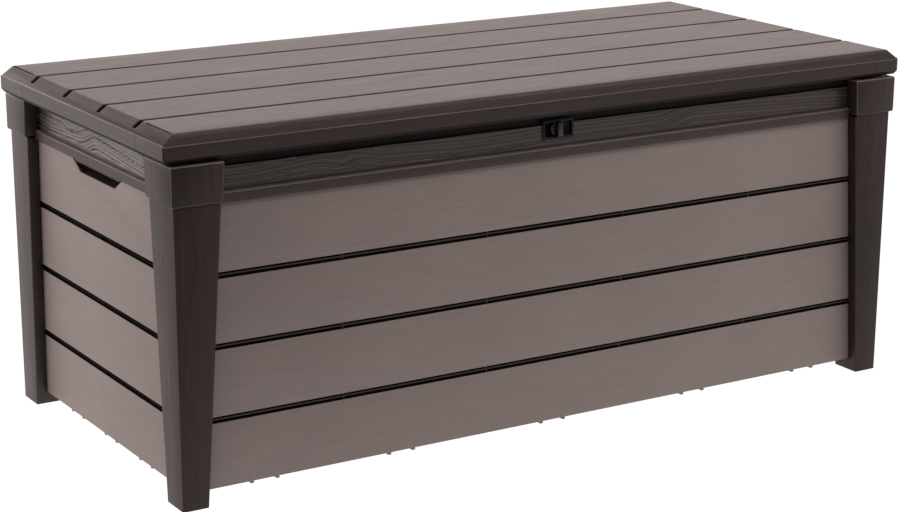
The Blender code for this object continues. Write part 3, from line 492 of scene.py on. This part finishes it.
def rail_profile(top, bottom, recessed):
    """The rail's outline as (inward, z, embossed), from its outer top edge down and round.

    The front rail's face stops short of the rim, and the rail steps back above it.
    """
    face_top = FRONT_FACE_TOP if recessed else top - 0.0008
    face = [(RAIL_BACK, z, 1.0) for z in np.arange(face_top, FACE_FOOT, -RELIEF_STEP_UP)]
    back = RECESS_BACK if recessed else RAIL_BACK
    head = [(back + 0.0005, top)]
    if recessed:
        head += [(back, top - 0.0005), (back, FRONT_STEP + 0.0007), (back - 0.0007, FRONT_STEP)]
        head += [(RAIL_BACK + 0.0020, FRONT_STEP), (RAIL_BACK + 0.0007, FRONT_STEP - 0.0004)]
    foot = fillet(
        [
            (RAIL_BACK, FACE_FOOT),
            (RAIL_BACK, 0.5062),
            (0.0020, 0.5056),
            (0.0020, 0.5042),
            (-LEDGE_PROUD, LEDGE_TOP),
            (-LEDGE_PROUD, bottom),
            (0.018, bottom),
        ],
        (0.0006, 0.0003, 0.0005, 0.0020, 0.0010),
    )
    rest = [(0.018, bottom + 0.004), (0.0055, bottom + 0.004)]
    if recessed:
        rest += [(0.0055, 0.538), (0.0125, 0.538), (0.0125, top - 0.004)]
    else:
        rest += [(0.0055, top - 0.004)]
    rest += [(0.018, top - 0.004), (0.018, top)]
    outline = [(d, z, 0.0) for d, z in head] + face
    outline += [(p[0], p[1], 0.0) for p in foot[1:]]
    outline += [(d, z, 0.0) for d, z in rest]
    return np.array(outline)


def rail_field(side, u, v):
    """The wood's grain field on a rail: u to the right seen from outside, v up."""
    seed = {"front": 3, "left": 11, "rear": 23, "right": 31}[side]
    field = v + 0.0022 * ripple(u, v, seed)
    if side == "left":
        field -= hump(u, -0.075, 0.000, 0.250, 0.0200)
        field += knot(u, v, (-0.108, 0.5335), (0.026, 0.0100), 0.0120)
        field += knot(u, v, (-0.190, 0.5200), (0.050, 0.0120), 0.0040)
    if side == "front":
        field -= hump(-u, 0.330, 0.400, 0.560, 0.012)
        field += knot(u, v, (-0.410, 0.520), (0.030, 0.014), 0.0120)
        field += hump(u, -0.360, -0.150, 0.040, 0.0060)
        field -= hump(u, 0.205, 0.290, 0.640, 0.0200)
    if side == "rear":
        field -= hump(u, -0.250, -0.120, 0.200, 0.0150)
        field += knot(u, v, (0.330, 0.535), (0.028, 0.009), 0.0110)
    if side == "right":
        field -= hump(-u, -0.020, 0.060, 0.250, 0.0160)
        field += knot(u, v, (0.120, 0.530), (0.022, 0.008), 0.0100)
    return field


# Each wall's turn about the upright axis, from the front wall
WALLS = {"front": 0.0, "right": math.pi / 2, "rear": math.pi, "left": -math.pi / 2}


def wall_place(side):
    """The turn and shift from a wall's own frame: along X, inward along Y, its face at zero."""
    low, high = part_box(side + "_panel")
    offsets = {
        "front": (0.0, low.y, 0.0),
        "rear": (0.0, high.y, 0.0),
        "left": (low.x, MIDDLE_Y, 0.0),
        "right": (high.x, MIDDLE_Y, 0.0),
    }
    return Matrix.Translation(offsets[side]) @ Matrix.Rotation(WALLS[side], 4, "Z")


def rail_stops(side):
    """Where a rail's ledge ends at the leg caps, to the left and right in its own frame."""
    front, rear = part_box("leg_cap_front_right"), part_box("leg_cap_rear_right")
    gap = 0.0035
    if side in ("front", "rear"):
        reach = front[0].x + gap
        return -reach, reach
    front_stop = front[1].y - MIDDLE_Y - gap
    rear_stop = rear[0].y - MIDDLE_Y + gap
    return (front_stop, rear_stop) if side == "right" else (-rear_stop, -front_stop)


def rail_mesh(side):
    """The rail as a closed mesh. Its faces' material indices follow rail_finishes."""
    # Material indices: face, painted edge highlight, painted crest highlight, painted recess shade, ledge
    face_finish, painted_edge_highlight, crest_highlights, recess_shade, ledge = range(5)
    low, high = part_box(side + "_rail")
    front, long_side = side == "front", side in ("front", "rear")
    half = (high.x - low.x) / 2 if long_side else (high.y - low.y) / 2
    first, last = rail_stops(side)
    outline = rail_profile(high.z, low.z, front)
    inner = np.linspace(first, last, int((last - first) / RELIEF_STEP_ALONG))
    places = np.concatenate(([-half, first - 1e-5], inner, [last + 1e-5, half]))
    u, d = np.meshgrid(places, outline[:, 0], indexing="ij")
    _, v = np.meshgrid(places, outline[:, 1], indexing="ij")
    _, embossed = np.meshgrid(places, outline[:, 2], indexing="ij")
    field = rail_field(side, u, v)
    bold = 0.0014 if long_side else 0.0024
    depth = relief(field, BROAD_PITCH, bold) + relief(field, FINE_PITCH, 0.0002)
    fade = np.clip((v - FACE_FOOT) / 0.003, 0.0, 1.0)
    d = d + depth * embossed * fade
    d = np.where((u < first) | (u > last), np.maximum(d, RAIL_BACK), d)
    rows, cols = u.shape
    bm = bmesh.new()
    verts = [bm.verts.new(p) for p in zip(u.ravel(), d.ravel(), v.ravel())]
    grid = [verts[i * cols : (i + 1) * cols] for i in range(rows)]
    for i, (a, b) in enumerate(zip(grid, grid[1:])):
        for j in range(cols):
            k = (j + 1) % cols
            face = bm.faces.new((a[j], a[k], b[k], b[j]))
            inward, z = (outline[j, :2] + outline[k, :2]) / 2
            ledge_edge = LEDGE_TOP - 0.0017 < z < LEDGE_TOP + 0.0010 and inward < 0.0012
            step_edge = front and z > FRONT_FACE_TOP - 0.0001 and inward < 0.0022
            raised = (depth[i, j] + depth[i + 1, k]) / 2 < 0.13 * bold
            # Painted shade fills the recess under the rim; the ledge's and step's rounded edges and the
            # relief's crests get painted highlights
            if front and z > FRONT_STEP + 0.0002:
                face.material_index = recess_shade
            elif ledge_edge or step_edge:
                face.material_index = painted_edge_highlight
            elif raised and outline[j, 2] * outline[k, 2] > 0 and side != "rear":
                face.material_index = crest_highlights
            elif z < LEDGE_TOP - 0.0005 and not long_side:
                face.material_index = ledge
            else:
                face.material_index = face_finish
    bm.faces.new(grid[0])
    bm.faces.new(reversed(grid[-1]))
    bmesh.ops.recalc_face_normals(bm, faces=bm.faces)
    bm.transform(wall_place(side))
    return bm


def rail_finishes(long_side):
    """The rail's face, painted highlights on its rounded edges and raised grain, painted shade in the
    recess, and its ledge.
    """
    axis = "X" if long_side else "Y"
    level = 0.38 if long_side else 0.78
    # The crests' painted highlight is dimmer on the long sides
    crest_highlight_colour = scaled(CREST_HIGHLIGHT, 0.75) if long_side else CREST_HIGHLIGHT
    return (
        resin("resin_dark", DARK, axis, 0.40, 0.00022, level),
        resin("resin_dark", EDGE_HIGHLIGHT, axis, 0.36, 0.00005),
        resin("resin_dark", crest_highlight_colour, axis, 0.36, 0.00005, level),
        resin("resin_dark", PAINTED_SHADE, axis, 0.6, 0.00005, 0.12),
        resin("resin_dark", DARK, axis, 0.45, 0.00016, 0.30),
    )


def make_rail(side):
    """One rail, with its wood relief cut into its face."""
    node = side + "_rail"
    first, *others = rail_finishes(side in ("front", "rear"))
    rail = to_object(node + "_moulded", rail_mesh(side), first)
    for material in others:
        rail.data.materials.append(material)
    if side == "front":
        cut_latch_opening(rail)
        finish_shading(rail.data, 38.0)
    show(rail, node)


def cut_latch_opening(rail):
    """Makes room for the latch housing, under its flange."""
    low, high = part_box("latch_housing")
    start = (low.x + 0.0022, low.y - 0.01, low.z + 0.0022)
    end = (high.x - 0.0022, low.y + 0.018, high.z - 0.0022)
    subtract(rail, box_into(bmesh.new(), start, end))


def lid_ring(bm, inset, level_x, level_y, half, radius=0.003, steps=4):
    """One ring of the lid's outline. End and side edges may lie at different heights."""
    ring = []
    half_x, half_y = half[0] - inset[0], half[1] - inset[1]
    for corner in range(4):
        centre_x = (half_x - radius) * (1 if corner in (0, 3) else -1)
        centre_y = (half_y - radius) * (1 if corner in (0, 1) else -1)
        for i in range(steps + 1):
            angle = math.pi / 2 * (corner + i / steps)
            x, y = math.cos(angle), math.sin(angle)
            z = level_x * x * x + level_y * y * y
            ring.append(bm.verts.new((centre_x + radius * x, centre_y + radius * y + MIDDLE_Y, z)))
    return ring


def groove_cutter(bm, y, run, top, slope_end, slope):
    """A plank groove with rolled edges that turns down the sloped ends and stops in them."""
    section = [(-0.0060, 0.0015), (-0.0052, -0.0001), (-0.0044, -0.0005), (-0.0037, -0.0014)]
    section += [(-0.0034, -GROOVE_DEPTH)]
    section += [(-a, b) for a, b in reversed(section)]
    half = [slope_end - 0.010, slope_end - 0.002, slope_end + 0.002, slope_end + 0.006, run - 0.0015, run]
    stations = [-x for x in reversed(half)] + half
    rings = []
    for place in stations:
        x = abs(place)
        width = 1.0 if x < slope_end - 0.001 else 1.35 if x < run - 0.001 else 0.7
        surface = top - max(0.0, x - slope_end) * slope
        ring = []
        for a, b in section:
            lowest = LID_GROOVE_FLOOR + 0.5 * (b + GROOVE_DEPTH)
            ring.append(bm.verts.new((place, y + a * width, max(surface + b, lowest))))
        rings.append(ring)
    loft(bm, rings)


def lid_outline(run, base, rim_top, top, top_radius, lip):
    """The lid's edge as (inward, z), from under the rim up to its flat top."""
    points = [(0.010, base), (0.0045, base), (0.0, base + 0.006), (0.0, rim_top), (lip, rim_top)]
    points += [(lip + 0.0004, rim_top + 0.0002), (run, top), (run + 0.03, top)]
    return fillet(points, (0.0012, 0.0040, 0.0008, 0.0001, 0.0001, top_radius), 5)


def loft(bm, rings):
    """A closed skin over rings of equally many vertices."""
    for a, b in zip(rings, rings[1:]):
        for j in range(len(a)):
            k = (j + 1) % len(a)
            bm.faces.new((a[j], a[k], b[k], b[j]))
    bm.faces.new(rings[0])
    bm.faces.new(reversed(rings[-1]))
    bmesh.ops.recalc_face_normals(bm, faces=bm.faces)


def lid_block(low, high, half):
    """The lid's outside as one solid block."""
    ends = lid_outline(END_RUN, low.z, RIM_TOP + 0.0008, high.z, 0.004, END_LIP)
    sides = lid_outline(SIDE_RUN, low.z, RIM_TOP - 0.0010, high.z, 0.009, SIDE_LIP)
    bm = bmesh.new()
    rings = [lid_ring(bm, (e[0], s[0]), e[1], s[1], half) for e, s in zip(ends, sides)]
    loft(bm, rings)
    return to_object("lid_moulded", bm, resin("resin_dark", DARK, "X", 0.48, 0.00016))


def lid_hollow(base):
    """The space inside the rim. It narrows upward at its ends and sides."""
    bm = bmesh.new()
    levels = []
    for z, x, y in ((base - 0.005, 0.7200, 0.3270), (0.5890, 0.706, 0.3245)):
        corners = ((-x, -y), (x, -y), (x, y), (-x, y))
        levels.append([bm.verts.new((a, b + MIDDLE_Y, z)) for a, b in corners])
    loft(bm, levels)
    return bm


def rib_pockets(top):
    """The pockets between the ribs under each plank."""
    bm = bmesh.new()
    lows = [-RIBS_Y] + [y + GROOVE_WALL for y in LID_GROOVES]
    highs = [y - GROOVE_WALL for y in LID_GROOVES] + [RIBS_Y]
    pitch = 2 * RIBS_X / BAYS
    for y0, y1 in zip(lows, highs):
        for i in range(BAYS):
            x0 = -RIBS_X + i * pitch + RIB / 2
            low = (x0, y0 + MIDDLE_Y, RIB_BASE)
            box_into(bm, low, (x0 + pitch - RIB, y1 + MIDDLE_Y, top - LID_SKIN))
    return bm


def plank_grooves(half, top):
    """The four grooves between the planks, which also notch the sloped ends."""
    slope = (top - RIM_TOP) / (END_RUN - END_LIP)
    bm = bmesh.new()
    for y in LID_GROOVES:
        groove_cutter(bm, y + MIDDLE_Y, half[0] - GROOVE_STOP, top, half[0] - END_RUN, slope)
    return bm


def make_lid():
    """The lid as one shell: a block, hollowed and pocketed from below and grooved from above."""
    low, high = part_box("lid_shell")
    half = ((high.x - low.x) / 2, (high.y - low.y) / 2)
    lid = lid_block(low, high, half)
    subtract(lid, lid_hollow(low.z))
    subtract(lid, rib_pockets(high.z))
    subtract(lid, plank_grooves(half, high.z))
    subtract(lid, seam_cutters(half, high.z))
    paint_lid(lid, half, low.z, high.z)
    finish_shading(lid.data, 33.0)
    show(lid, "lid_shell")


def box_at(bm, x, y, reach_x, reach_y, low, high):
    """Adds an upright box round a point."""
    box_into(bm, (x - reach_x, y - reach_y, low), (x + reach_x, y + reach_y, high))


def seam_cutters(half, top):
    """Thin seams: upright in the rim beside each corner, and along the outer planks' ends."""
    bm = bmesh.new()
    for sx in (-1, 1):
        for sy in (-1, 1):
            box_at(bm, sx * half[0], sy * SEAM_Y + MIDDLE_Y, 0.0007, 0.0005, 0.55, RIM_TOP)
            box_at(bm, sx * SEAM_X, sy * half[1] + MIDDLE_Y, 0.0003, 0.0003, 0.55, RIM_TOP)
            x = sx * (half[0] - END_RUN + 0.0005)
            inner, outer = LID_GROOVES[-1] + 0.022, half[1] - 0.013
            y = sy * (inner + outer) / 2 + MIDDLE_Y
            box_at(bm, x, y, 0.0013, (outer - inner) / 2, top - 0.0018, top + 0.01)
    return bm


def paint_lid(lid, half, base, top):
    """Grain runs along Y on the ends and along X elsewhere. The rim's upper edge gets a painted
    highlight, and the groove walls and the rim's underside get painted shade.
    """
    planks, slopes, lip_highlights, groove_shade, rim_ends, rim_foot_shade = range(6)
    mesh = lid.data
    mesh.materials.clear()
    # Materials in order: planks, sloped ends, painted highlight on the rim's upper edge, painted shade in
    # the grooves, rim ends, and a dimmer painted shade on the rim's underside
    mesh.materials.append(resin("resin_dark", DARK, "X", 0.48, 0.00016))
    mesh.materials.append(resin("resin_dark", DARK, "Y", 0.44, 0.00020, 0.20))
    mesh.materials.append(resin("resin_dark", EDGE_HIGHLIGHT, "X", 0.36, 0.00005))
    mesh.materials.append(resin("resin_dark", PAINTED_SHADE, "X", 0.6, 0.00005, 0.08))
    mesh.materials.append(resin("resin_dark", DARK, "Y", 0.42, 0.00020, 0.46))
    mesh.materials.append(resin("resin_dark", scaled(DARK, 0.75), "X", 0.6, 0.00005, 0.12))
    for face in mesh.polygons:
        x, y, z = face.center
        slant = abs(face.normal.x)
        end_lip = abs(x) > half[0] - 0.0022 and RIM_TOP - 0.0004 < z < RIM_TOP + 0.0016
        side_lip = abs(y - MIDDLE_Y) > half[1] - 0.0014 and RIM_TOP - 0.0022 < z < RIM_TOP
        off_groove = min(abs(y - MIDDLE_Y - groove) for groove in LID_GROOVES)
        in_groove = z < top and off_groove < 0.0048 and abs(face.normal.z) < 0.35
        if end_lip or side_lip:
            face.material_index = lip_highlights
        elif in_groove and slant < 0.9:
            face.material_index = groove_shade
        elif z < base + 0.0062 and face.normal.z < -0.2:
            face.material_index = rim_foot_shade
        elif slant > 0.9:
            face.material_index = rim_ends
        else:
            face.material_index = slopes if slant > 0.45 else planks


def in_panel_groove(mesh, face):
    """How far a face lies from the middle of the groove that holds it, or None outside the grooves."""
    height = min(PANEL_GROOVES, key=lambda z: abs(z - face.center.z))
    reach = max(abs(mesh.vertices[i].co.z - height) for i in face.vertices)
    return abs(face.center.z - height) if reach < PANEL_GROOVE_REACH else None


def make_panels():
    """Taupe walls. Their grooves get near-black painted shade, and the bead in the long walls' grooves a
    lighter painted shade.
    """
    for side in WALLS:
        axis = "X" if side in ("front", "rear") else "Y"
        grain = resin("resin_taupe", TAUPE, axis, 0.52, 0.00008, 0.3, 0.08, 260.0)
        panel = refine(side + "_panel", 0.0008, grain)
        mesh = panel.data
        # Painted shade: near-black in the grooves, lighter on the long walls' groove beads
        mesh.materials.append(resin("resin_taupe", scaled(PAINTED_SHADE, 0.5), axis, 0.7, 0.00005, 0.03))
        mesh.materials.append(resin("resin_taupe", scaled(TAUPE, 0.22), axis, 0.6, 0.00005, 0.15))
        for face in mesh.polygons:
            off = in_panel_groove(mesh, face)
            if off is not None:
                face.material_index = 2 if off < PANEL_BEAD_HALF and axis == "X" else 1


def make_corners():
    """Leg covers and their caps. The caps' rounded edges get a lighter colour as a painted highlight, and
    the rear left pair is glossier.
    """
    # Painted highlight for the caps' rounded edges
    painted_edge_highlight = resin("resin_dark", EDGE_HIGHLIGHT, "Z", 0.36, 0.00005)
    for corner in ("front_left", "front_right", "rear_left", "rear_right"):
        level = 0.42 if corner == "rear_left" else 0.22
        upright = resin("resin_dark", DARK, "Z", 0.45, 0.00018, level, 0.30, 190.0)
        refine("leg_" + corner, 0.0016, upright, None, 3)
        refine("leg_cap_" + corner, 0.0009, upright, painted_edge_highlight, 2)


def make_latch():
    """The housing and the knob, their rounded edges painted lighter as highlights."""
    dull = satin("resin_black", scaled(BLACK, 0.6), 0.34, level=0.12)
    # Lighter copies for the rounded edges: painted highlights on the housing and, brighter, on the knob
    housing_edge_highlight = satin("resin_black", scaled(BLACK, 3.0), 0.30, level=0.30)
    glossy = satin("resin_black", BLACK, 0.20, level=0.45)
    knob_edge_highlight = satin("resin_black", scaled(BLACK, 18.0), 0.24, level=0.70)
    refine("latch_housing", 0.0007, dull, housing_edge_highlight, 2)
    refine("latch_knob", 0.0010, glossy, knob_edge_highlight, 3)


def finish_hardware():
    """The rest of the CAD nodes keep their shapes and get their finishes."""
    shown = {
        "floor_panel": resin("resin_taupe", TAUPE, "X", 0.6, 0.0001),
        "hand_grip_left": resin("resin_dark", DARK, "Y", 0.5, 0.0001),
        "hand_grip_right": resin("resin_dark", DARK, "Y", 0.5, 0.0001),
    }
    black_steel = satin("black_steel", (0.018, 0.018, 0.020), 0.45)
    zinc = satin("zinc_steel", ZINC, 0.32, 1.0, 0.00003, 900.0)
    black = satin("resin_black", BLACK, 0.28, 0.0, 0.00003)
    slots = {part["node"]: part["material_slot"] for part in frame["record"]["subparts"]}
    finishes = {"black_steel": black_steel, "zinc_steel": zinc, "resin_black": black}
    for name, node in frame["nodes"].items():
        if node.hide_render:
            continue
        material = shown.get(name) or finishes[slots[name]]
        node.data.materials.clear()
        node.data.materials.append(material)


make_stage()
make_panels()
make_corners()
for wall in WALLS:
    make_rail(wall)
make_lid()
make_latch()
finish_hardware()
